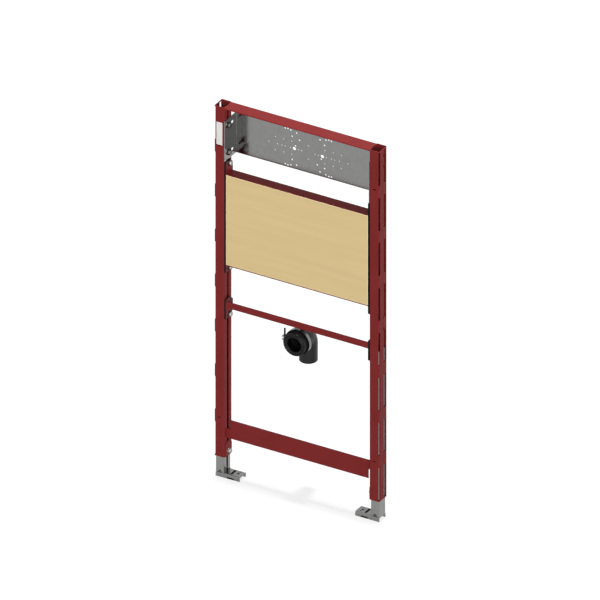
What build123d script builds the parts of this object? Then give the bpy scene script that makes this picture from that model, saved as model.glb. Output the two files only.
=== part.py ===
from build123d import *
import os

# A steel pre-wall frame that carries a utility sink. Two slotted posts stand on telescopic
# feet. Between them are a top rail, a tap plate, a wooden mounting board, a drain elbow in its
# clamp and a low rail.
# Millimetres, +Z up, X across the frame, the front faces -Y. The pieces are made with y = 0 at
# the front face of the posts. At the end all of them move so that the origin lies on the floor
# under the middle of the whole box.

# The frame as a whole
frame_width = 500
frame_height = 1120
sheet = 2
bend_radius = 1
bolt_hole = 8.5
snug = 0.1

# Posts: a C section, open towards the middle of the frame
post_width = 30
post_depth = 40
post_wall = 2
post_corner = 3
mouth_width = 11

# Long slots that take the outer corners of the posts away, all the way up
slot_length = 100
slot_pitch = 136
slot_on_front = 3.3
slot_on_side = 6.5
back_slot_width = 11
back_slot_gap = 4.5

# Short height marks in the front of the posts, and small holes in their outer side
mark_width = 11
mark_height = 3.2
mark_drop = 117
mark_rise = 119
side_hole = 4.5
wide_hole = 7.5
side_hole_step = 16.5
side_hole_shift = 4.5
side_hole_drops = [36, 527]
low_hole_rise = 41

# Feet: a C tube that slides in the post, on a base of folded sheet whose notches show a rubber sole
foot_clearance = 0.5
foot_extension = 49
tube_wall = 2
tube_corner = 2.5
tube_mouth = 8
tube_length = 502
base_length = 72
base_height = 13
base_sheet = 3
base_notch = 21
base_notch_height = 5
base_notch_start = 34
base_slot_length = 25
base_slot_width = 7
base_slot_inset = 28
anchor_hole = 9
anchor_inset = 14.5
spare_hole = 6.6
spare_inset = 12.5
spare_shift = 10
sole_hole = 11
sole_recess = 0.3

# Brake plates that clamp the feet at the lower ends of the posts
brake_sheet = 2.5
brake_height = 43
brake_depth = 32
brake_cut = 9
brake_bolt_rise = 13

# Top rail
rail_lip = 4
rail_flange = 25

# Tap plate: a wide U, with a plate at the back and flanges along the posts
tap_drop = 40.5
tap_height = 122
tap_reach = 62
tap_bolt_spread = 82
tap_slot_start = 8
tap_slot_length = 39
tap_hole = 10
tap_hole_spread = 85
fixing_hole = 5
pilot_hole = 3.5

# Mounting board, the angles that hold it, and the end plates that lie in plastic trays
traverse_gap = 1
pad_sheet = 2.5
pad_rim = 1.5
bracket_sheet = 2
bracket_depth = 38
bracket_corner = 3
bracket_cut = 14
board_bracket_height = 335.5
board_bracket_inset = 10
board_drop = 35.5
board_height = 272
board_thickness = 31
board_side_gap = 0.2
board_edge = 1.2
board_round = 1.5
angle_leg = 40

# Drain rail and its end plates
drain_gap = 80
drain_bracket_height = 60.5
drain_bracket_bolt_rise = 8.5
drain_rail_drop = 4.6
drain_rail_height = 20.4
drain_rail_depth = 30

# Drain elbow: a socket with a rubber seal, a tight bend and a spigot that points down
pipe_diameter = 50
pipe_wall = 3
bend_middle_radius = 30
spigot_axis = 61
spigot_length = 81.5
spigot_chamfer = 1.5
socket_diameter = 63
socket_bore = 54
socket_front = 12
socket_depth = 24
socket_back = 16
socket_taper = 5
seal_bore = 42
seal_diameter = 66
seal_lip = 3
seal_depth = 20

# Pipe clamp: a lined steel band on a stud, closed by one screw beside it
clamp_start = 3.25
clamp_width = 10.5
clamp_sheet = 2
lining = 3
lining_edge = 2.25
clamp_split = 7
clamp_lug = 9
screw_diameter = 5
screw_head = 9
screw_head_height = 4
screw_reach = 28
boss_diameter = 13
boss_height = 6
stud_diameter = 6
stud_rise = 9

# Low rail: a flat bar against the front lips of the posts. Its tabs are turned into their mouths,
# so its two other corners are cut
low_rail_rise = 53.8
low_rail_height = 55.6
low_rail_cut = 11.3
low_tab_depth = 1.5

# Places that follow from the sizes
inner = frame_width / 2 - post_width
outer = frame_width / 2
post_bottom = base_height + foot_extension
post_length = frame_height - post_bottom
post_middle = post_depth / 2
tube_width = post_width - 2 * post_wall - 2 * foot_clearance
tube_depth = post_depth - 2 * post_wall - 2 * foot_clearance
tap_top = frame_height - tap_drop
tap_middle = tap_top - tap_height / 2
board_bracket_top = tap_top - tap_height - traverse_gap
board_bracket_bottom = board_bracket_top - board_bracket_height
board_unit_top = board_bracket_top - board_drop
board_top = board_unit_top - sheet
board_bottom = board_top - board_height
board_end = inner - pad_sheet - bracket_sheet
drain_bracket_top = board_bracket_bottom - drain_gap
drain_bracket_bottom = drain_bracket_top - drain_bracket_height
drain_rail_top = drain_bracket_top - drain_rail_drop
drain_rail_bottom = drain_rail_top - drain_rail_height
lining_radius = socket_diameter / 2 + snug
band_radius = lining_radius + lining + snug
band_outer = band_radius + clamp_sheet
drain_z = drain_rail_bottom - boss_height - band_outer
clamp_middle = clamp_start + clamp_width / 2
low_rail_bottom = post_bottom + low_rail_rise
reach_front = socket_front + seal_lip
reach_back = spigot_axis + pipe_diameter / 2
depth_middle = (reach_back - reach_front) / 2


def block(x_span, y_span, z_span):
    """A box between two values on each axis."""
    spans = (x_span, y_span, z_span)
    middle = [(low + high) / 2 for low, high in spans]
    size = [high - low for low, high in spans]
    return Pos(*middle) * Box(*size)


def folded(points, thickness):
    """The section of a folded sheet whose middle line runs through the points."""
    return trace(FilletPolyline(*points, radius=bend_radius + thickness / 2), thickness)


def along_x(section, start, end):
    """A section drawn in depth and height, drawn out across the frame."""
    return extrude(Plane.YZ.offset(start) * section, end - start)


def upright(section, bottom, top):
    """A section drawn in plan, drawn up from bottom to top."""
    return extrude(Pos(0, 0, bottom) * section, top - bottom)


def along_y(section, front, back):
    """A section drawn about the drain's axis, drawn back from front to back."""
    plane = Plane((0, back, drain_z), x_dir=(1, 0, 0), z_dir=(0, -1, 0))
    return extrude(plane * section, back - front)


def round_hole(x, y, z, axis, diameter, length):
    """A round bar that cuts a hole, centred on a point and lying along an axis."""
    return Plane((x, y, z), z_dir=axis) * Cylinder(diameter / 2, length)


def c_section(width, depth, wall, corner, mouth):
    """A rounded C section about its middle, with its mouth towards +X."""
    shell = RectangleRounded(width, depth, corner)
    shell -= RectangleRounded(width - 2 * wall, depth - 2 * wall, corner - wall)
    return shell - Pos((width - wall) / 2, 0) * Rectangle(2 * wall, mouth)


def mirrored(left_piece):
    """The piece on the right that mirrors the one on the left."""
    return mirror(left_piece, about=Plane.YZ)


def turned(left_piece):
    """The same piece on the right, turned half round in the middle of the posts."""
    return Pos(0, post_depth) * Rot(0, 0, 180) * left_piece


def make_left_post():
    section = c_section(post_width, post_depth, post_wall, post_corner, mouth_width)
    post = upright(Pos(-(inner + outer) / 2, post_middle) * section, post_bottom, frame_height)
    side = (-outer, -outer + post_wall)
    slot_count = int((post_length - slot_length) // slot_pitch) + 1
    margin = (post_length - (slot_count - 1) * slot_pitch - slot_length) / 2
    for index in range(slot_count):
        low = post_bottom + margin + index * slot_pitch
        span = (low, low + slot_length)
        post -= block((-outer, -outer + slot_on_front), (0, slot_on_side), span)
        back = post_depth - back_slot_gap
        post -= block(side, (back - back_slot_width, back), span)
    for height in (frame_height - mark_drop, post_bottom + mark_rise):
        mark = (height - mark_height / 2, height + mark_height / 2)
        middle = -(inner + outer) / 2
        post -= block((middle - mark_width / 2, middle + mark_width / 2), (0, post_wall), mark)
    for drop in side_hole_drops:
        for step, shift, diameter in ((1, 1, wide_hole), (0, -1, side_hole), (-1, 1, wide_hole)):
            place = (post_middle + shift * side_hole_shift, frame_height - drop + step * side_hole_step)
            post -= round_hole(-outer, *place, (1, 0, 0), diameter, 2 * post_wall)
    low_place = (post_middle - side_hole_shift, post_bottom + low_hole_rise)
    return post - round_hole(-outer, *low_place, (1, 0, 0), side_hole, 2 * post_wall)


def make_left_tube():
    section = c_section(tube_width, tube_depth, tube_wall, tube_corner, tube_mouth)
    return upright(Pos(-(inner + outer) / 2, post_middle) * section, base_height, base_height + tube_length)


def make_left_base():
    front = post_middle - tube_depth / 2 + base_sheet / 2
    back = post_middle + tube_depth / 2 - base_sheet / 2
    top = base_height - base_sheet / 2
    start = -(inner + outer) / 2 - tube_width / 2
    end = start + base_length
    base = along_x(folded([(front, 0), (front, top), (back, top), (back, 0)], base_sheet), start, end)
    notch = start + base_notch_start
    base -= block((notch, notch + base_notch), (0, post_depth), (0, base_notch_height))
    slot = Pos(end - base_slot_inset, post_middle) * SlotOverall(base_slot_length, base_slot_width, rotation=90)
    base -= upright(slot, 0, base_height)
    for inset, shift, diameter in ((anchor_inset, 0, anchor_hole), (spare_inset, spare_shift, spare_hole)):
        hole = Pos(end - inset, post_middle + shift) * Circle(diameter / 2)
        base -= upright(hole, 0, base_height)
    return base


def make_left_sole():
    start = -(inner + outer) / 2 - tube_width / 2
    notch = start + base_notch_start
    span = (notch + snug, notch + base_notch - snug)
    inside = tube_depth / 2 - base_sheet - snug
    sole = block(span, (post_middle - inside, post_middle + inside), (0, base_height - base_sheet - snug))
    sole = chamfer(sole.edges().filter_by(Axis.X).sort_by(Axis.Z)[-2:], bend_radius)
    reach = tube_depth / 2 - sole_recess
    sole += block(span, (post_middle - reach, post_middle + reach), (0, base_notch_height - snug))
    hole = Pos(start + base_length - anchor_inset, post_middle) * Circle(sole_hole / 2)
    return sole - upright(hole, 0, base_height)


def make_left_brake():
    plate = Rectangle(brake_depth, brake_height)
    plate = chamfer(plate.vertices().sort_by(Axis.Y)[2:], brake_cut)
    plate -= Pos(0, brake_bolt_rise - brake_height / 2) * Circle(bolt_hole / 2)
    place = Pos(post_middle, post_bottom + brake_height / 2)
    return along_x(place * plate, -inner, -inner + brake_sheet)


def make_top_rail():
    half = sheet / 2
    top = frame_height - half
    front = half
    back = post_depth - half
    line = [(front, frame_height - rail_lip), (front, top), (back, top), (back, frame_height - rail_flange)]
    return along_x(folded(line, sheet), -inner, inner)


def tap_plate_holes():
    """Every hole of the tap plate, as its place from the plate's middle and its diameter."""
    holes = [(side * tap_hole_spread / 2, 0, tap_hole) for side in (-1, 1)]
    for side in (-1, 1):
        for level in (-1, 1):
            for x, z in ((70, 54), (62, 55), (53, 52.5), (35.5, 48.5), (49, 35)):
                holes.append((side * x, level * z, fixing_hole))
            for x in (50, 75, 100):
                holes.append((side * x, level * 20, pilot_hole))
        for x in (20, 30, 54.5, 70, 80, 94, 120):
            holes.append((side * x, 0, pilot_hole))
        for x, z in ((27, 29.5), (39, 9)):
            holes.append((-side * x, side * z, fixing_hole))
        holes.append((0, side * 20, pilot_hole))
    return holes


def make_tap_plate():
    side = inner - sheet / 2
    back = tap_reach - sheet / 2
    line = [(-side, 0), (-side, back), (side, back), (side, 0)]
    plate = upright(folded(line, sheet), tap_top - tap_height, tap_top)
    slot_middle = tap_slot_start + tap_slot_length / 2
    for level in (-1, 1):
        place = Pos(slot_middle, tap_middle + level * tap_bolt_spread / 2)
        slot = place * SlotOverall(tap_slot_length, bolt_hole)
        plate -= along_x(slot, -inner, inner)
    for x, z, diameter in tap_plate_holes():
        plate -= round_hole(x, tap_reach, tap_middle + z, (0, 1, 0), diameter, 4 * sheet)
    return plate


def end_outline(bottom, top):
    """The outline of a traverse's end, drawn in depth and height, with its back corners cut."""
    plate = Pos(bracket_depth / 2, (bottom + top) / 2) * Rectangle(bracket_depth, top - bottom)
    plate = chamfer(plate.vertices().sort_by(Axis.X)[2:], bracket_cut)
    return fillet(plate.vertices().sort_by(Axis.X)[:2], bracket_corner)


def end_bolts(heights):
    """The round holes of an end's bolts."""
    return [Pos(post_middle, height) * Circle(bolt_hole / 2) for height in heights]


def make_left_pad(bottom, top, bolt_heights):
    outline = end_outline(bottom, top)
    floor = along_x(outline - end_bolts(bolt_heights), -inner, -inner + pad_sheet)
    return floor + along_x(outline - offset(outline, -pad_rim), -inner + pad_sheet, -board_end)


def make_left_bracket(bottom, top, bolt_heights):
    plate = offset(end_outline(bottom, top), -pad_rim - snug) - end_bolts(bolt_heights)
    return along_x(plate, -inner + pad_sheet, -board_end)


def make_board():
    end = board_end - board_side_gap
    board = block((-end, end), (0, board_thickness), (board_bottom, board_top))
    board = fillet(board.faces().sort_by(Axis.Y)[0].edges(), board_round)
    return chamfer(board.edges().filter_by(Axis.X).sort_by(Axis.Y)[-2:], board_edge)


def make_board_angle(level, leg_end):
    """An angle along the top or bottom of the board, with its leg behind the board."""
    back = board_thickness + sheet / 2
    return along_x(folded([(0, level), (back, level), (back, leg_end)], sheet), -board_end, board_end)


def make_drain_rail():
    half = sheet / 2
    low = drain_rail_bottom + half
    line = [(half, drain_rail_top), (half, low), (drain_rail_depth, low)]
    rail = along_x(folded(line, sheet), -board_end, board_end)
    return rail - round_hole(0, clamp_middle, low, (0, 0, 1), stud_diameter + 4 * snug, 2 * sheet)


def make_drain_elbow():
    outside = pipe_diameter / 2
    inside = outside - pipe_wall
    turn = [(0, socket_back, drain_z), (0, spigot_axis, drain_z), (0, spigot_axis, drain_z - spigot_length)]
    path = FilletPolyline(*turn, radius=bend_middle_radius)
    ring = Plane((0, socket_back, drain_z), z_dir=(0, 1, 0)) * (Circle(outside) - Circle(inside))
    pipe = sweep(ring, path=path)
    rim = pipe.edges().group_by(Axis.Z)[0].filter_by(GeomType.CIRCLE).sort_by(SortBy.RADIUS)[-1]
    pipe = chamfer(rim, spigot_chamfer)
    half = socket_diameter / 2
    shell = Polyline((socket_bore / 2, -socket_front), (half, -socket_front), (half, socket_back),
                     (outside, socket_back + socket_taper), (inside, socket_back + socket_taper),
                     (inside, socket_depth - socket_front), (socket_bore / 2, socket_depth - socket_front),
                     close=True)
    about_drain = Plane((0, 0, drain_z), x_dir=(1, 0, 0), z_dir=(0, 0, 1))
    socket = revolve(about_drain * make_face(shell), Axis((0, 0, drain_z), (0, 1, 0)))
    return pipe + socket


def make_drain_seal():
    bore = seal_bore / 2
    sleeve = socket_bore / 2 - snug
    back = seal_depth - socket_front
    line = Polyline((bore, -socket_front - seal_lip), (seal_diameter / 2, -socket_front - seal_lip),
                    (seal_diameter / 2, -socket_front), (sleeve, -socket_front), (sleeve, back),
                    (bore, back), close=True)
    about_drain = Plane((0, 0, drain_z), x_dir=(1, 0, 0), z_dir=(0, 0, 1))
    return revolve(about_drain * make_face(line), Axis((0, 0, drain_z), (0, 1, 0)))


def split_ring(inside, outside):
    """A ring about the drain's axis, split on its left side."""
    return Circle(outside) - Circle(inside) - Pos(-outside, 0) * Rectangle(outside, clamp_split)


def lug_middle():
    return -(band_outer + clamp_lug / 2)


def make_clamp_band():
    section = split_ring(band_radius, band_outer)
    lug_length = clamp_lug + 2 * clamp_sheet
    for level in (-1, 1):
        place = Pos(-band_radius - lug_length / 2, level * (clamp_split + clamp_sheet) / 2)
        section += place * Rectangle(lug_length, clamp_sheet)
    band = along_y(section, clamp_start, clamp_start + clamp_width)
    hole = round_hole(lug_middle(), clamp_middle, drain_z, (0, 0, 1), screw_diameter + 4 * snug, 4 * clamp_split)
    return band - hole


def make_clamp_lining():
    front = clamp_start - lining_edge
    back = clamp_start + clamp_width + lining_edge
    sleeve = along_y(split_ring(lining_radius, lining_radius + lining), front, back)
    lip = split_ring(lining_radius, band_outer)
    sleeve += along_y(lip, front, clamp_start - snug)
    return sleeve + along_y(lip, clamp_start + clamp_width + snug, back)


def make_clamp_screw():
    seat = drain_z - clamp_split / 2 - clamp_sheet
    foot = Pos(lug_middle(), clamp_middle, seat)
    shank = foot * Cylinder(screw_diameter / 2, seat_to_tip(), align=(Align.CENTER, Align.CENTER, Align.MIN))
    head = Cylinder(screw_head / 2, screw_head_height, align=(Align.CENTER, Align.CENTER, Align.MAX))
    return shank + foot * head


def seat_to_tip():
    return clamp_split / 2 + clamp_sheet + screw_reach


def make_clamp_stud():
    base = drain_z + band_outer - clamp_sheet
    up = (Align.CENTER, Align.CENTER, Align.MIN)
    boss = Pos(0, clamp_middle, base) * Cylinder(boss_diameter / 2, drain_rail_bottom - base, align=up)
    boss -= round_hole(0, clamp_middle, drain_z, (0, 1, 0), 2 * (band_outer + snug), 2 * clamp_width)
    stud_height = sheet + stud_rise
    stud = Pos(0, clamp_middle, drain_rail_bottom) * Cylinder(stud_diameter / 2, stud_height, align=up)
    return boss + stud


def make_low_rail():
    lip_edge = post_middle - mouth_width / 2
    web = (lip_edge, lip_edge + sheet)
    middle = low_rail_bottom + low_rail_height / 2
    tip = inner + low_tab_depth
    short = inner - low_rail_cut
    lower = block((-tip, short), web, (low_rail_bottom, middle))
    return lower + block((-short, tip), web, (middle, low_rail_bottom + low_rail_height))


board_span = (board_bracket_bottom, board_bracket_top)
board_bolts = [board_bracket_top - board_bracket_inset, board_bracket_bottom + board_bracket_inset]
drain_span = (drain_bracket_bottom, drain_bracket_top)
drain_bolts = [drain_bracket_bottom + drain_bracket_bolt_rise]
left_pieces = {
    "post": make_left_post(),
    "foot_tube": make_left_tube(),
    "foot_base": make_left_base(),
    "foot_sole": make_left_sole(),
    "foot_brake": make_left_brake(),
    "board_pad": make_left_pad(*board_span, board_bolts),
    "board_bracket": make_left_bracket(*board_span, board_bolts),
    "drain_pad": make_left_pad(*drain_span, drain_bolts),
    "drain_bracket": make_left_bracket(*drain_span, drain_bolts),
}
pieces = {
    "top_rail": make_top_rail(),
    "tap_plate": make_tap_plate(),
    "board": make_board(),
    "board_top_angle": make_board_angle(board_top + sheet / 2, board_top - angle_leg),
    "board_bottom_angle": make_board_angle(board_bottom - sheet / 2, board_bottom + angle_leg),
    "drain_rail": make_drain_rail(),
    "drain_elbow": make_drain_elbow(),
    "drain_seal": make_drain_seal(),
    "clamp_band": make_clamp_band(),
    "clamp_lining": make_clamp_lining(),
    "clamp_screw": make_clamp_screw(),
    "clamp_stud": make_clamp_stud(),
    "low_rail": make_low_rail(),
}
for name, piece in left_pieces.items():
    pieces["left_" + name] = piece
    pieces["right_" + name] = turned(piece) if name in ("foot_base", "foot_sole") else mirrored(piece)

os.makedirs("parts", exist_ok=True)
for name, piece in pieces.items():
    export_step(Pos(0, -depth_middle, 0) * piece, "parts/" + name + ".step")
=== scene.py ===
import math

import bpy
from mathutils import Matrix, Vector


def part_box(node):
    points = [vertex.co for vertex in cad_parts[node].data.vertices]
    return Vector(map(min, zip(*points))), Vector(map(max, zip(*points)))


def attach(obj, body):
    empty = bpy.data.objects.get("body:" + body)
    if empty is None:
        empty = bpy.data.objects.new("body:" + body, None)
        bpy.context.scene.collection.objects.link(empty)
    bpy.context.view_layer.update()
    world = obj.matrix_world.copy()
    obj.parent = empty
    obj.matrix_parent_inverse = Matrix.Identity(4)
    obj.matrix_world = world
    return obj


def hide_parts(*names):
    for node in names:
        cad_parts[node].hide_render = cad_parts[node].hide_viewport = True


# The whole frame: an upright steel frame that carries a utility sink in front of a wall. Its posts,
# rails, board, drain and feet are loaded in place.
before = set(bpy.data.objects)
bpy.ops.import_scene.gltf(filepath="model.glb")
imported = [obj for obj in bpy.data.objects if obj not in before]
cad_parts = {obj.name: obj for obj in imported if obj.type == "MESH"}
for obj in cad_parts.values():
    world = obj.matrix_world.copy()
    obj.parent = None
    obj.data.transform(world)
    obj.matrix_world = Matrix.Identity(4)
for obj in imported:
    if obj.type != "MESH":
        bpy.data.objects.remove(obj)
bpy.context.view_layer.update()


# Posts: two upright C sections of folded steel sheet, with long slots stamped along their corners.
# They are powder coated red-brown, which leaves a satin skin with a fine orange-peel relief.
def colour(red, green, blue):
    """A shader colour from the 0 to 255 values in which a finish is matched."""
    parts = [value / 255 for value in (red, green, blue)]
    return [p / 12.92 if p <= 0.04045 else ((p + 0.055) / 1.055) ** 2.4 for p in parts] + [1.0]


def new_relief_group():
    """Fine grain and broad clouds over a surface, which most of the finishes share."""
    group = bpy.data.node_groups.new("surface_relief", "ShaderNodeTree")
    ends = group.nodes.new("NodeGroupInput"), group.nodes.new("NodeGroupOutput")
    place = group.nodes.new("ShaderNodeTexCoord")
    for given, put_out, detail in (("Grains", "Grain", 2.0), ("Clouds", "Cloud", 4.0)):
        group.interface.new_socket(given, in_out="INPUT", socket_type="NodeSocketFloat")
        group.interface.new_socket(put_out, in_out="OUTPUT", socket_type="NodeSocketFloat")
        noise = group.nodes.new("ShaderNodeTexNoise")
        noise.inputs["Detail"].default_value = detail
        group.links.new(place.outputs["Object"], noise.inputs["Vector"])
        group.links.new(ends[0].outputs[given], noise.inputs["Scale"])
        group.links.new(noise.outputs["Fac"], ends[1].inputs[put_out])
    return group


surface_relief = new_relief_group()


def spread_colours(tree, source, stops, target):
    """Turns a value into colours at their stops and feeds them to a socket."""
    ramp = tree.nodes.new("ShaderNodeValToRGB")
    ends = ramp.color_ramp.elements
    while len(ends) < len(stops):
        ends.new(0.5)
    for element, (position, tone) in zip(ends, stops):
        element.position = position
        element.color = tone
    tree.links.new(source, ramp.inputs["Fac"])
    tree.links.new(ramp.outputs["Color"], target)


def spread_values(tree, source, low, high, target):
    """Turns a noise value into a number between low and high and feeds it to a socket."""
    span = tree.nodes.new("ShaderNodeMapRange")
    for label, value in (("From Min", 0.3), ("From Max", 0.7), ("To Min", low), ("To Max", high)):
        span.inputs[label].default_value = value
    tree.links.new(source, span.inputs["Value"])
    tree.links.new(span.outputs["Result"], target)


def raise_relief(tree, height, depth, shader):
    """Lets a height from 0 to 1 bend the shader's normal as a relief that many metres deep."""
    bump = tree.nodes.new("ShaderNodeBump")
    bump.inputs["Distance"].default_value = depth
    tree.links.new(height, bump.inputs["Height"])
    tree.links.new(bump.outputs["Normal"], shader.inputs["Normal"])


def new_finish(name, settings):
    """A node material, its tree and its shader with the plain settings made."""
    finish = bpy.data.materials.new(name)
    finish.use_nodes = True
    shader = finish.node_tree.nodes["Principled BSDF"]
    for label, value in settings.items():
        shader.inputs[label].default_value = value
    return finish, finish.node_tree, shader


def add_relief(tree, grains, clouds):
    """Adds the shared relief to a finish, with about so many grains and clouds to a metre."""
    relief = tree.nodes.new("ShaderNodeGroup")
    relief.node_tree = surface_relief
    relief.inputs["Grains"].default_value = grains
    relief.inputs["Clouds"].default_value = clouds
    return relief


def cloudy_finish(name, tones, gloss, grains, clouds, depth, settings):
    """A finish whose colour and gloss drift a little over a skin with a fine relief."""
    finish, tree, shader = new_finish(name, settings)
    relief = add_relief(tree, grains, clouds)
    stops = [(0.35, colour(*tones[0])), (0.65, colour(*tones[1]))]
    spread_colours(tree, relief.outputs["Cloud"], stops, shader.inputs["Base Color"])
    spread_values(tree, relief.outputs["Cloud"], *gloss, shader.inputs["Roughness"])
    raise_relief(tree, relief.outputs["Grain"], depth, shader)
    return finish


def dress(nodes, finish):
    """Gives loaded parts their finish."""
    for node in nodes:
        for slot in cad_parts[node].material_slots:
            slot.material = finish


red_coat = cloudy_finish("red_powder_coat", tones=((121, 39, 39), (126, 42, 42)), gloss=(0.36, 0.44),
                         grains=650, clouds=14, depth=0.00006, settings={"Specular IOR Level": 0.07})
dress(["left_post", "right_post"], red_coat)

# Feet: galvanised C tubes that slide in the posts, each welded on a folded base that is bolted to
# the floor over a rubber sole. The zinc has cooled in pale and dark crystals. The weld beads, and
# the three-cornered patches that tie each tube to the flanges of its base, are sprayed dull grey.
zinc_coat, tree, shader = new_finish("zinc_coat", {"Metallic": 1.0})
place = tree.nodes.new("ShaderNodeTexCoord")
crystals = tree.nodes.new("ShaderNodeTexVoronoi")
crystals.inputs["Scale"].default_value = 95
relief = add_relief(tree, grains=300, clouds=9)
tree.links.new(place.outputs["Object"], crystals.inputs["Vector"])
stops = [(0.1, colour(145, 145, 144)), (0.9, colour(150, 150, 149))]
spread_colours(tree, crystals.outputs["Color"], stops, shader.inputs["Base Color"])
spread_values(tree, relief.outputs["Cloud"], 0.13, 0.19, shader.inputs["Roughness"])
raise_relief(tree, relief.outputs["Grain"], 0.000004, shader)
dress(["left_foot_tube", "right_foot_tube", "left_foot_base", "right_foot_base"], zinc_coat)
soft_rubber = cloudy_finish("soft_rubber", tones=((8, 8, 8), (12, 12, 12)), gloss=(0.45, 0.6),
                            grains=900, clouds=40, depth=0.00005, settings={"Specular IOR Level": 0.08})
dress(["left_foot_sole", "right_foot_sole"], soft_rubber)
frame_sides = (("left", -1), ("right", 1))
smooth_angle = math.radians(35)


def fit(piece, finish, body):
    """Gives a finished piece its finish and lets it move with a body of the frame."""
    piece.data.materials.clear()
    piece.data.materials.append(finish)
    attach(piece, body)


def apply_modifier(piece, kind, **settings):
    """Adds a modifier to the active piece and applies it at once."""
    modifier = piece.modifiers.new(kind.lower(), kind)
    for label, value in settings.items():
        setattr(modifier, label, value)
    bpy.ops.object.modifier_apply(modifier=modifier.name)


def weld_seam(name, start, end, radius, finish, slot, body):
    """A bead of weld pools from start to end, fused into one rippled skin. Sizes in millimetres."""
    start, end = Vector(start) / 1000, Vector(end) / 1000
    run = end - start
    radius = radius / 1000
    pitch = 0.75 * radius
    flatness = 0.7
    grid = 0.24 * radius
    pools = max(3, round(run.length / pitch))
    bpy.ops.object.select_all(action="DESELECT")
    bpy.ops.mesh.primitive_uv_sphere_add(segments=12, ring_count=8, radius=radius, location=start,
                                         rotation=run.to_track_quat("Z", "Y").to_euler())
    bead = bpy.context.object
    bead.name = name
    bead.scale = (1, 1, flatness)
    bpy.ops.object.transform_apply()
    apply_modifier(bead, "ARRAY", count=pools, use_relative_offset=False, use_constant_offset=True,
                   constant_offset_displace=run / (pools - 1))
    apply_modifier(bead, "REMESH", mode="VOXEL", voxel_size=grid)
    bpy.ops.object.shade_smooth()
    fit(bead, finish, body)


def weld_side(side, sign, group, seams, radius, finish, slot, body):
    """Welds the named seams of a group, which are given for the right side, on one side of the frame."""
    for edge, (start, end) in seams.items():
        ends = [(sign * x, y, z) for x, y, z in (start, end)]
        weld_seam(f"{side}_{group}_weld_{edge}", *ends, radius, finish, slot, body)


def thicken(corner, segments, thickness):
    """Opens the new flat sheet for editing, rounds its corners and gives it a thickness along Y."""
    bpy.ops.object.transform_apply()
    bpy.ops.object.mode_set(mode="EDIT")
    bpy.ops.mesh.select_all(action="SELECT")
    bpy.ops.mesh.bevel(offset=corner / 1000, segments=segments, affect="VERTICES")
    bpy.ops.mesh.extrude_region_move(TRANSFORM_OT_translate={"value": (0, thickness / 1000, 0)})


def close_skin():
    """Turns all faces of the piece that is open for editing outwards, and closes it."""
    bpy.ops.mesh.select_all(action="SELECT")
    bpy.ops.mesh.normals_make_consistent(inside=False)
    bpy.ops.object.mode_set(mode="OBJECT")


def weld_patch(name, foot_middle, outwards, finish, body):
    """A flat three-cornered patch of weld that points up, with its foot at a place in millimetres."""
    radius = 8.6
    squat = 0.7
    corner = 2
    thickness = 1.1
    crown = 0.5
    slope = 1
    middle = Vector(foot_middle) + Vector((0, 0, squat * radius / 2))
    bpy.ops.object.select_all(action="DESELECT")
    bpy.ops.mesh.primitive_circle_add(vertices=3, radius=radius / 1000, fill_type="NGON",
                                      location=middle / 1000, rotation=(math.pi / 2, 0, 0))
    patch = bpy.context.object
    patch.name = name
    patch.scale = (1, squat, 1)
    thicken(corner, 3, outwards * thickness)
    bpy.ops.mesh.inset(thickness=slope / 1000, depth=crown / 1000)
    close_skin()
    bpy.ops.object.shade_smooth_by_angle(angle=smooth_angle)
    fit(patch, finish, body)


zinc_spray = cloudy_finish("zinc_spray", tones=((72, 72, 72), (88, 88, 87)), gloss=(0.6, 0.75),
                           grains=900, clouds=120, depth=0.00005, settings={"Specular IOR Level": 0.15})
base_top = 13
tube_side = 222.5
tube_middle = 235
tube_faces = (("front", -33, -1), ("back", 2, 1))
foot_seams = {
    "front": ((tube_side, -31, base_top), (tube_side, -20.5, base_top)),
    "back": ((tube_side, -10.5, base_top), (tube_side, 0, base_top)),
}
foot_bead = 1.3
for side, sign in frame_sides:
    weld_side(side, sign, "foot", foot_seams, foot_bead, zinc_spray, "galvanised", f"{side}_foot")
    for edge, depth, outwards in tube_faces:
        weld_patch(f"{side}_foot_patch_{edge}", (sign * tube_middle, depth, base_top), outwards,
                   zinc_spray, f"{side}_foot")

# Foot brakes: red plates at the lower ends of the posts, each drawn against the foot tube by a
# zinc-plated hexagon bolt on a washer.
dress(["left_foot_brake", "right_foot_brake"], red_coat)
bright_zinc = cloudy_finish("bright_zinc", tones=((160, 158, 154), (174, 172, 168)), gloss=(0.22, 0.34),
                            grains=500, clouds=60, depth=0.00002, settings={"Metallic": 1.0})
black_oxide = cloudy_finish("black_oxide", tones=((16, 16, 17), (24, 24, 25)), gloss=(0.4, 0.5),
                            grains=500, clouds=60, depth=0.00002, settings={"Specular IOR Level": 0.2})
washer_height = 1.6
head_height = 5.3
head_across = 13
dish_rim = 2.2
dish_depth = 0.4
shank_radius = 3.9
black_washer = (8.8, black_oxide, "black_steel")
bright_washer = (7.9, bright_zinc, "clamp_steel")
bolt_line = -15.5


def pick_faces(piece, wanted):
    """Opens a piece for editing with only the faces selected whose middle and normal are wanted."""
    bpy.ops.object.mode_set(mode="EDIT")
    bpy.ops.mesh.select_mode(type="FACE")
    bpy.ops.mesh.select_all(action="DESELECT")
    bpy.ops.object.mode_set(mode="OBJECT")
    for face in piece.data.polygons:
        face.select = wanted(face.center, face.normal)
    bpy.ops.object.mode_set(mode="EDIT")


def pick_front(piece):
    """Opens a piece for editing with only its foremost face along X selected."""
    front = max(face.center.x for face in piece.data.polygons)
    pick_faces(piece, lambda middle, normal: middle.x > front - 1e-5)


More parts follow.
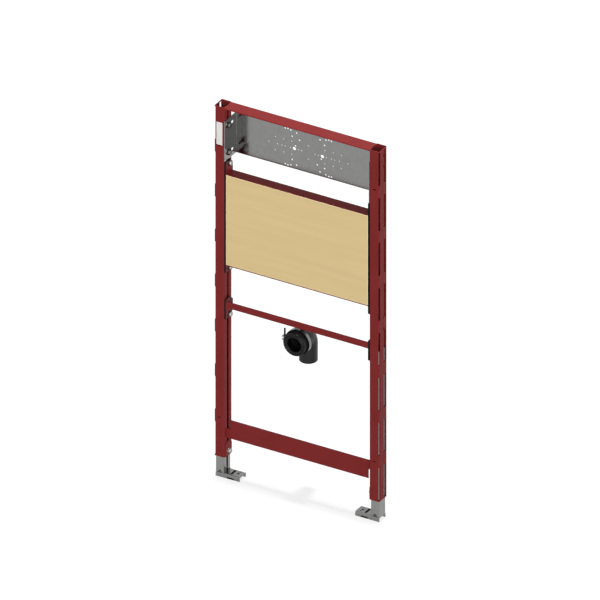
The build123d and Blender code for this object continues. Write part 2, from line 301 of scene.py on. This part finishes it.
def new_bar(sides, radius, start, end):
    """A bar of that many sides along X, between two places in millimetres, ready to be shaped."""
    bpy.ops.object.select_all(action="DESELECT")
    bpy.ops.mesh.primitive_cylinder_add(vertices=sides, radius=radius / 1000, depth=(end - start) / 1000,
                                        location=((start + end) / 2000, 0, 0), rotation=(0, math.pi / 2, 0))
    bpy.ops.object.transform_apply()
    return bpy.context.object


def ease_end(piece, towards, offset, segments):
    """Takes the edge off a bar's end face, off its +X end or its -X end."""
    pick_faces(piece, lambda middle, normal: towards * normal.x > 0.9)
    bpy.ops.mesh.bevel(offset=offset / 1000, segments=segments, affect="EDGES")
    bpy.ops.object.mode_set(mode="OBJECT")


def join_pieces(name, pieces):
    """Makes one object of several, with its edges sharp and its round faces smooth."""
    bpy.ops.object.select_all(action="DESELECT")
    for piece in pieces:
        piece.select_set(True)
    bpy.context.view_layer.objects.active = pieces[0]
    bpy.ops.object.join()
    bpy.ops.object.shade_smooth_by_angle(angle=smooth_angle)
    pieces[0].name = name
    return pieces[0]


def model_washer(radius):
    """A washer along X that lies against x = 0, with an eased rim."""
    washer = new_bar(36, radius, 0, washer_height)
    ease_end(washer, 1, 0.35, 2)
    return join_pieces("washer_model", [washer])


def model_bolt(shank_length):
    """A hexagon bolt for a washer, along X, with its joint at x = 0 and its head towards +X."""
    head = new_bar(6, head_across / math.sqrt(3), washer_height, washer_height + head_height)
    ease_end(head, 1, 0.8, 2)
    pick_front(head)
    bpy.ops.mesh.inset(thickness=dish_rim / 1000, depth=-dish_depth / 1000)
    bpy.ops.object.mode_set(mode="OBJECT")
    shank = new_bar(24, shank_radius, -shank_length, washer_height)
    ease_end(shank, -1, 0.9, 1)
    return join_pieces("bolt_model", [head, shank])


def set_copy(model, name, place, turn):
    """A copy of a model with its own mesh, turned by three angles and set at its place in millimetres."""
    bpy.ops.object.select_all(action="DESELECT")
    model.select_set(True)
    bpy.context.view_layer.objects.active = model
    bpy.ops.object.duplicate()
    piece = bpy.context.object
    piece.name = name
    piece.location = Vector(place) / 1000
    piece.rotation_euler = turn
    bpy.ops.object.transform_apply()
    return piece


def set_pairs(model, places, finish):
    """Sets a model on the left of each place and a turned one on its right, then removes the model."""
    for name, place in places.items():
        for side, sign in frame_sides:
            turn = (0, 0, math.pi if side == "right" else 0)
            piece = set_copy(model, f"{side}_{name}", (sign * place[0], *place[1:]), turn)
            fit(piece, finish, "frame")
    bpy.data.objects.remove(model)


def set_bolts(name, reach, heights, shank_length, finish, washer):
    """Sets bolts on washers at those heights, on both sides, at that reach from the middle."""
    radius, washer_finish, washer_slot = washer
    for kind, height in heights.items():
        place = (reach, bolt_line, height)
        set_pairs(model_washer(radius), {f"{name}_washer{kind}": place}, washer_finish)
        set_pairs(model_bolt(shank_length), {f"{name}_bolt{kind}": place}, finish)


brake_face = 217.5
brake_bolt_height = 75
brake_shank = 4
set_bolts("brake", brake_face, {"": brake_bolt_height}, brake_shank, bright_zinc, bright_washer)

# Top rail: a folded red sheet with a lip in front and a flange at the back, welded from below
# between the heads of the posts and coated with them.
dress(["top_rail"], red_coat)
post_face = 220
rail_underside = 1118
flange_front = 2.5
rail_bead = 1.5
rail_seams = {
    "front": ((post_face, -33, rail_underside), (post_face, -22.5, rail_underside)),
    "middle": ((post_face, -8.5, rail_underside), (post_face, 1, rail_underside)),
    "back": ((post_face, flange_front, 1097), (post_face, flange_front, 1114)),
}
for side, sign in frame_sides:
    weld_side(side, sign, "top", rail_seams, rail_bead, red_coat, "red_coat", "frame")

# Low rail: a flat red bar between the posts. Its tabs reach into the mouths of the posts, where
# a seam on its front side holds each of them.
dress(["low_rail"], red_coat)
bar_bead = 1.4
bar_front = -21
bar_heights = {"left": (119, 141), "right": (146, 168)}
for side, sign in frame_sides:
    ends = [(sign * post_face, bar_front, height) for height in bar_heights[side]]
    weld_seam(f"{side}_low_weld", *ends, bar_bead, red_coat, "red_coat", "frame")

# Tap plate: a wide galvanised U with rows of fixing holes for the taps. Its dull zinc bolts go
# through the slots of its flanges into nuts that slide in the posts.
dress(["tap_plate"], zinc_coat)
nut_half_diagonal = 12.8
nut_span = (-8, -2)
nut_edge = 0.9
tap_flange_face = 218
tap_bolt_heights = {"_upper": 1059.5, "_lower": 977.5}


def cut_away(piece, cutter):
    """Takes the form of a cutter away from a piece, and removes the cutter."""
    bpy.context.view_layer.objects.active = piece
    apply_modifier(piece, "BOOLEAN", operation="DIFFERENCE", object=cutter, solver="EXACT")
    bpy.data.objects.remove(cutter)


def drill(piece, radius, start, end):
    """Drills a round hole along X between two places in millimetres."""
    cut_away(piece, new_bar(24, radius, start, end))


def model_slide_nut():
    """A nut that slides in a post: a steel block with eased edges and a bore, along X."""
    nut = new_bar(4, nut_half_diagonal, *nut_span)
    bpy.ops.object.mode_set(mode="EDIT")
    bpy.ops.mesh.select_all(action="SELECT")
    bpy.ops.transform.rotate(value=math.pi / 4, orient_axis="X", center_override=(0, 0, 0))
    bpy.ops.mesh.bevel(offset=nut_edge / 1000, segments=2, affect="EDGES")
    bpy.ops.object.mode_set(mode="OBJECT")
    drill(nut, shank_radius, -10, 0)
    return join_pieces("slide_nut_model", [nut])


def set_slide_nuts(name, heights):
    """Sets sliding nuts in the posts, behind the bolts at those heights."""
    places = {f"{name}_nut{kind}": (post_face, bolt_line, height) for kind, height in heights.items()}
    set_pairs(model_slide_nut(), places, bright_zinc)


dull_zinc = cloudy_finish("dull_zinc", tones=((100, 100, 99), (116, 116, 115)), gloss=(0.3, 0.42),
                          grains=500, clouds=60, depth=0.00002, settings={"Metallic": 1.0})
tap_shank = 16
set_bolts("tap", tap_flange_face, tap_bolt_heights, tap_shank, dull_zinc, black_washer)
set_slide_nuts("tap", tap_bolt_heights)

# Board carrier: red end plates in black plastic trays on the posts, with an angle above and below
# the board. Seams behind the angles join them to the plates, and zinc-plated bolts hold the plates.
black_plastic = cloudy_finish("black_plastic", tones=((11, 11, 11), (15, 15, 15)), gloss=(0.45, 0.58),
                              grains=1200, clouds=30, depth=0.00003, settings={"Specular IOR Level": 0.12})
dress(["left_board_pad", "right_board_pad"], black_plastic)
dress(["left_board_bracket", "right_board_bracket", "board_top_angle", "board_bottom_angle"], red_coat)
plate_face = 215.5
angle_back = -2.5
board_bolt_heights = {"_upper": 946.5, "_lower": 631}
board_seams = {
    "upper": ((plate_face, angle_back, 885), (plate_face, angle_back, 916)),
    "lower": ((plate_face, angle_back, 650), (plate_face, angle_back, 681)),
}
for side, sign in frame_sides:
    weld_side(side, sign, "board", board_seams, rail_bead, red_coat, "red_coat", "frame")
board_shank = 18
set_bolts("board", plate_face, board_bolt_heights, board_shank, bright_zinc, black_washer)
set_slide_nuts("board", board_bolt_heights)

# Board: a sanded panel of pale softwood, to which the sink is screwed. Its grain runs across the
# frame, a paler band along its edges is a painted highlight, and pan-head screws hold its back to the
# angles.
board_wood, tree, shader = new_finish("board_wood", {"Specular IOR Level": 0.3})
place = tree.nodes.new("ShaderNodeTexCoord")
streaks = {}
for label, scale, detail in (("band", (2.2, 30, 42), 4.0), ("fibre", (9, 260, 520), 2.0)):
    stretch = tree.nodes.new("ShaderNodeMapping")
    stretch.inputs["Scale"].default_value = scale
    streaks[label] = tree.nodes.new("ShaderNodeTexNoise")
    streaks[label].inputs["Scale"].default_value = 1
    streaks[label].inputs["Detail"].default_value = detail
    streaks[label].inputs["Distortion"].default_value = 0.4
    tree.links.new(place.outputs["Object"], stretch.inputs["Vector"])
    tree.links.new(stretch.outputs["Vector"], streaks[label].inputs["Vector"])
grain = tree.nodes.new("ShaderNodeMix")
grain.inputs["Factor"].default_value = 0.35
tree.links.new(streaks["band"].outputs["Fac"], grain.inputs["A"])
tree.links.new(streaks["fibre"].outputs["Fac"], grain.inputs["B"])
stops = [(0.3, colour(216, 191, 139)), (0.5, colour(220, 195, 142)), (0.7, colour(224, 200, 148))]
# Painted highlight: a paler colour within this width of the board's outline stands in for light on its
# edges.
painted_highlight_width = 0.002
painted_highlight_mix = tree.nodes.new("ShaderNodeMix")
painted_highlight_mix.data_type = "RGBA"
painted_highlight_mix.inputs["B"].default_value = colour(240, 224, 180)
spread_colours(tree, grain.outputs["Result"], stops, painted_highlight_mix.inputs["A"])
tree.links.new(painted_highlight_mix.outputs["Result"], shader.inputs["Base Color"])
low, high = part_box("board")
split = tree.nodes.new("ShaderNodeSeparateXYZ")
tree.links.new(place.outputs["Object"], split.inputs["Vector"])
rims = []
for axis, index in (("X", 0), ("Z", 2)):
    away = tree.nodes.new("ShaderNodeMath")
    away.operation = "COMPARE"
    away.inputs[1].default_value = (low[index] + high[index]) / 2
    away.inputs[2].default_value = (high[index] - low[index]) / 2 - painted_highlight_width
    tree.links.new(split.outputs[axis], away.inputs[0])
    rims.append(away.outputs["Value"])
# The painted highlight lies wherever a point falls outside the inner span along X or along Z.
inside = tree.nodes.new("ShaderNodeMath")
inside.operation = "MULTIPLY"
rim = tree.nodes.new("ShaderNodeMath")
rim.operation = "SUBTRACT"
rim.inputs[0].default_value = 1
tree.links.new(rims[0], inside.inputs[0])
tree.links.new(rims[1], inside.inputs[1])
tree.links.new(inside.outputs["Value"], rim.inputs[1])
tree.links.new(rim.outputs["Value"], painted_highlight_mix.inputs["Factor"])
spread_values(tree, streaks["band"].outputs["Fac"], 0.5, 0.64, shader.inputs["Roughness"])
raise_relief(tree, streaks["fibre"].outputs["Fac"], 0.00006, shader)
dress(["board"], board_wood)


def model_board_screw():
    """A pan-head wood screw with a cross recess, along X, with its seat at x = 0."""
    head_radius = 4.4
    head_top = 2.6
    recess_floor = 1.1
    recess_width = 1.1
    recess_length = 4.6
    length = 22
    head = new_bar(32, head_radius, 0, head_top)
    ease_end(head, 1, 1.7, 4)
    for wide, tall in ((recess_width, recess_length), (recess_length, recess_width)):
        blade = new_bar(4, math.sqrt(0.5), recess_floor, 4)
        bpy.ops.transform.rotate(value=math.pi / 4, orient_axis="X", center_override=(0, 0, 0))
        bpy.ops.transform.resize(value=(1, wide, tall), center_override=(0, 0, 0))
        bpy.ops.object.transform_apply()
        cut_away(head, blade)
    shank = new_bar(16, head_radius / 2, -length, 0.5)
    ease_end(shank, -1, 2, 1)
    return join_pieces("board_screw_model", [head, shank])


board_screw = model_board_screw()
screw_heights = {"upper": 900, "lower": 666}
screw_places = (-175, -60, 60, 175)
for level, height in screw_heights.items():
    for index, across in enumerate(screw_places):
        piece = set_copy(board_screw, f"board_screw_{level}_{index + 1}", (across, angle_back, height),
                         (0, 0, math.pi / 2))
        fit(piece, bright_zinc, "frame")
bpy.data.objects.remove(board_screw)

# Drain rail: a red angle with end plates in plastic trays, built as the board carrier is. The
# plates' bolts are the same, and short seams behind the rail join it to them.
dress(["left_drain_pad", "right_drain_pad"], black_plastic)
dress(["drain_rail", "left_drain_bracket", "right_drain_bracket"], red_coat)
upright_leg_back = -33.5
flat_leg_top = 518
drain_bolt_height = 489
drain_seams = {
    "upright": ((plate_face, upright_leg_back, 520), (plate_face, upright_leg_back, 535)),
    "flat": ((plate_face, -30, flat_leg_top), (plate_face, -8, flat_leg_top)),
}
for side, sign in frame_sides:
    weld_side(side, sign, "drain", drain_seams, bar_bead, red_coat, "red_coat", "frame")
drain_shank = 6
set_bolts("drain", plate_face, {"": drain_bolt_height}, drain_shank, bright_zinc, black_washer)

# Drain elbow: a moulded waste elbow of black plastic. The rubber seal in its socket is moulded with
# a rounded rim, a groove round its face and a soft edge at its bore.
drain_plastic = cloudy_finish("drain_plastic", tones=((24, 24, 24), (29, 29, 29)), gloss=(0.3, 0.4),
                              grains=420, clouds=25, depth=0.00004, settings={"Specular IOR Level": 0.25})
dress(["drain_elbow"], drain_plastic)
seal_rubber = cloudy_finish("seal_rubber", tones=((7, 7, 7), (11, 11, 11)), gloss=(0.24, 0.32),
                            grains=700, clouds=40, depth=0.00003, settings={"Specular IOR Level": 0.2})
lip_radius = 33
lip_height = 3
lip_back_edge = 0.5
sleeve_radius = 26.8
sleeve_length = 20
seal_place = (0, -47.5, 473.3)
face_land = [(2.4, 0)]
face_groove = [(0.5, -0.3), (0.5, -0.6), (1.6, 0), (0.5, 0.6), (0.5, 0.3)]
bore_edge = [(3.6, 0), (0.7, -0.3), (0.5, -0.7)]


def model_seal():
    """The seal along X, with the back of its lip at x = 0 and its face towards +X."""
    seal = new_bar(96, lip_radius, 0, lip_height)
    ease_end(seal, 1, 1.2, 5)
    ease_end(seal, -1, lip_back_edge, 2)
    pick_front(seal)
    for thickness, depth in face_land + face_groove + bore_edge:
        bpy.ops.mesh.inset(thickness=thickness / 1000, depth=depth / 1000)
    bpy.ops.mesh.extrude_region_move(TRANSFORM_OT_translate={"value": (-(sleeve_length + 1) / 1000, 0, 0)})
    bpy.ops.object.mode_set(mode="OBJECT")
    pick_faces(seal, lambda middle, normal: normal.x < -0.9 and middle.yz.length < 1e-4)
    bpy.ops.mesh.inset(thickness=(lip_radius - lip_back_edge - sleeve_radius) / 1000)
    bpy.ops.mesh.extrude_region_move(TRANSFORM_OT_translate={"value": (-sleeve_length / 1000, 0, 0)})
    bpy.ops.object.mode_set(mode="OBJECT")
    pick_faces(seal, lambda middle, normal: middle.x < -0.015 and middle.yz.length < 1e-4)
    bpy.ops.mesh.bridge_edge_loops()
    close_skin()
    return join_pieces("seal_model", [seal])


seal = model_seal()
piece = set_copy(seal, "moulded_seal", seal_place, (0, 0, -math.pi / 2))
fit(piece, seal_rubber, "frame")
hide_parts("drain_seal")
bpy.data.objects.remove(seal)

# Pipe clamp: a zinc-plated band with a rubber lining, closed by one black screw in its lugs. Its
# stud goes up through the drain rail, where a nut and a washer hold it.
clamp_zinc = cloudy_finish("clamp_zinc", tones=((132, 133, 134), (148, 149, 150)), gloss=(0.2, 0.28),
                           grains=500, clouds=60, depth=0.00002, settings={"Metallic": 1.0})
dress(["clamp_band", "clamp_stud"], clamp_zinc)
dress(["clamp_lining"], soft_rubber)
dress(["clamp_screw"], black_oxide)


def model_stud_nut():
    """A hexagon nut on a washer, along X, with its seat at x = 0."""
    across_flats = 10
    stud_radius = 3
    seat = 1.2
    top = 6.2
    washer = new_bar(36, 6.2, 0, seat)
    ease_end(washer, 1, 0.3, 2)
    nut = new_bar(6, across_flats / math.sqrt(3), seat, top)
    ease_end(nut, 1, 0.6, 2)
    stud_nut = join_pieces("stud_nut_model", [nut, washer])
    drill(stud_nut, stud_radius, -1, top + 1.8)
    return stud_nut


stud_depth = -27
stud_nut = model_stud_nut()
piece = set_copy(stud_nut, "clamp_stud_nut", (0, stud_depth, flat_leg_top), (0, -math.pi / 2, 0))
fit(piece, bright_zinc, "frame")
bpy.data.objects.remove(stud_nut)

# Label: a bare white sticker on the front of the left post. It is thin coated paper, cut with
# rounded corners and stuck on flat.
label_paper = cloudy_finish("label_paper", tones=((226, 226, 224), (232, 232, 230)), gloss=(0.45, 0.55),
                            grains=900, clouds=20, depth=0.00001, settings={"Specular IOR Level": 0.3})
label_width = 18.1
label_height = 68
label_corner = 1.5
label_thickness = 0.15
label_middle = (-234.5, -35.5, 1039)
bpy.ops.object.select_all(action="DESELECT")
bpy.ops.mesh.primitive_plane_add(size=0.001, location=Vector(label_middle) / 1000,
                                 rotation=(math.pi / 2, 0, 0))
label = bpy.context.object
label.name = "post_label"
label.scale = (label_width, label_height, 1)
thicken(label_corner, 5, -label_thickness)
close_skin()
label.data.materials.append(label_paper)
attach(label, "frame")

# Studio: a plain pale floor under soft light from above, in a white room that the camera and the
# bright metal see. The camera looks along parallel lines from the right, above the front.
bpy.ops.object.select_all(action="DESELECT")
bpy.ops.mesh.primitive_plane_add(size=40)
floor = bpy.context.object
floor.name = "studio_floor"


def ray_strength(tree, plain, shares):
    """A strength that is plain for most rays, with a share added for some kinds of ray."""
    rays = tree.nodes.new("ShaderNodeLightPath")
    steps = []
    for kind, share in shares.items():
        step = tree.nodes.new("ShaderNodeMath")
        step.operation = "MULTIPLY_ADD"
        step.inputs[1].default_value = share
        step.inputs[2].default_value = plain
        tree.links.new(rays.outputs[kind], step.inputs[0])
        if steps:
            tree.links.new(steps[-1].outputs["Value"], step.inputs[2])
        steps.append(step)
    return steps[-1].outputs["Value"]


floor_paint = bpy.data.materials.new("floor_paint")
floor_paint.use_nodes = True
tree = floor_paint.node_tree
tree.nodes.clear()
matt = tree.nodes.new("ShaderNodeBsdfDiffuse")
matt.inputs["Color"].default_value = (0.2, 0.2, 0.2, 1)
lift = tree.nodes.new("ShaderNodeEmission")
both = tree.nodes.new("ShaderNodeAddShader")
surface = tree.nodes.new("ShaderNodeOutputMaterial")
floor_shares = {"Is Camera Ray": 0.77, "Is Glossy Ray": 0.53, "Is Transmission Ray": 0.77}
tree.links.new(ray_strength(tree, 0, floor_shares), lift.inputs["Strength"])
tree.links.new(matt.outputs["BSDF"], both.inputs[0])
tree.links.new(lift.outputs["Emission"], both.inputs[1])
tree.links.new(both.outputs["Shader"], surface.inputs["Surface"])
floor.data.materials.append(floor_paint)

room = bpy.data.worlds.new("white_room")
room.use_nodes = True
tree = room.node_tree
backdrop = tree.nodes["Background"]
backdrop.inputs["Color"].default_value = (1, 1, 1, 1)
room_shares = {"Is Camera Ray": 0.86, "Is Glossy Ray": 0.66, "Is Transmission Ray": 0.86}
tree.links.new(ray_strength(tree, 0.14, room_shares), backdrop.inputs["Strength"])
bpy.context.scene.world = room


def hang_lamp(lamp, towards):
    """Hangs a lamp some metres away from the middle of the frame in a direction, turned towards it."""
    holder = bpy.data.objects.new(lamp.name, lamp)
    holder.location = lamp_distance * Vector(towards) + Vector((0, 0, lamp_middle))
    holder.rotation_euler = Vector(towards).to_track_quat("Z", "Y").to_euler()
    bpy.context.scene.collection.objects.link(holder)


lamp_distance = 3
lamp_middle = 0.47
for name, towards, spread, level in (("overhead_light", (0, 0.02, 1), 4, 1.14),
                                     ("front_light", (0.5, -0.8, 0.22), 45, 0.92)):
    lamp = bpy.data.lights.new(name, "SUN")
    lamp.angle = math.radians(spread)
    lamp.energy = math.pi * level
    hang_lamp(lamp, towards)
for name, towards, level in (("back_light", (0, 0.95, 0.3), 9), ("side_light", (0.9, -0.25, 0.35), 3)):
    lamp = bpy.data.lights.new(name, "AREA")
    lamp.size = 0.8
    lamp.energy = level * math.pi * lamp.size ** 2
    hang_lamp(lamp, towards)

azimuth = math.radians(30)
elevation = math.radians(29.8)
away = Vector((math.sin(azimuth) * math.cos(elevation),
               -math.cos(azimuth) * math.cos(elevation),
               math.sin(elevation)))
view_middle = Vector((-0.0018, -0.0155, 0.592))
view_distance = 4
lens = bpy.data.cameras.new("parallel_lens")
lens.type = "ORTHO"
lens.ortho_scale = 1.575
camera = bpy.data.objects.new("camera", lens)
camera.location = view_middle + view_distance * away
camera.rotation_euler = away.to_track_quat("Z", "Y").to_euler()
bpy.context.scene.collection.objects.link(camera)
bpy.context.scene.camera = camera
bpy.context.scene.view_settings.view_transform = "Standard"
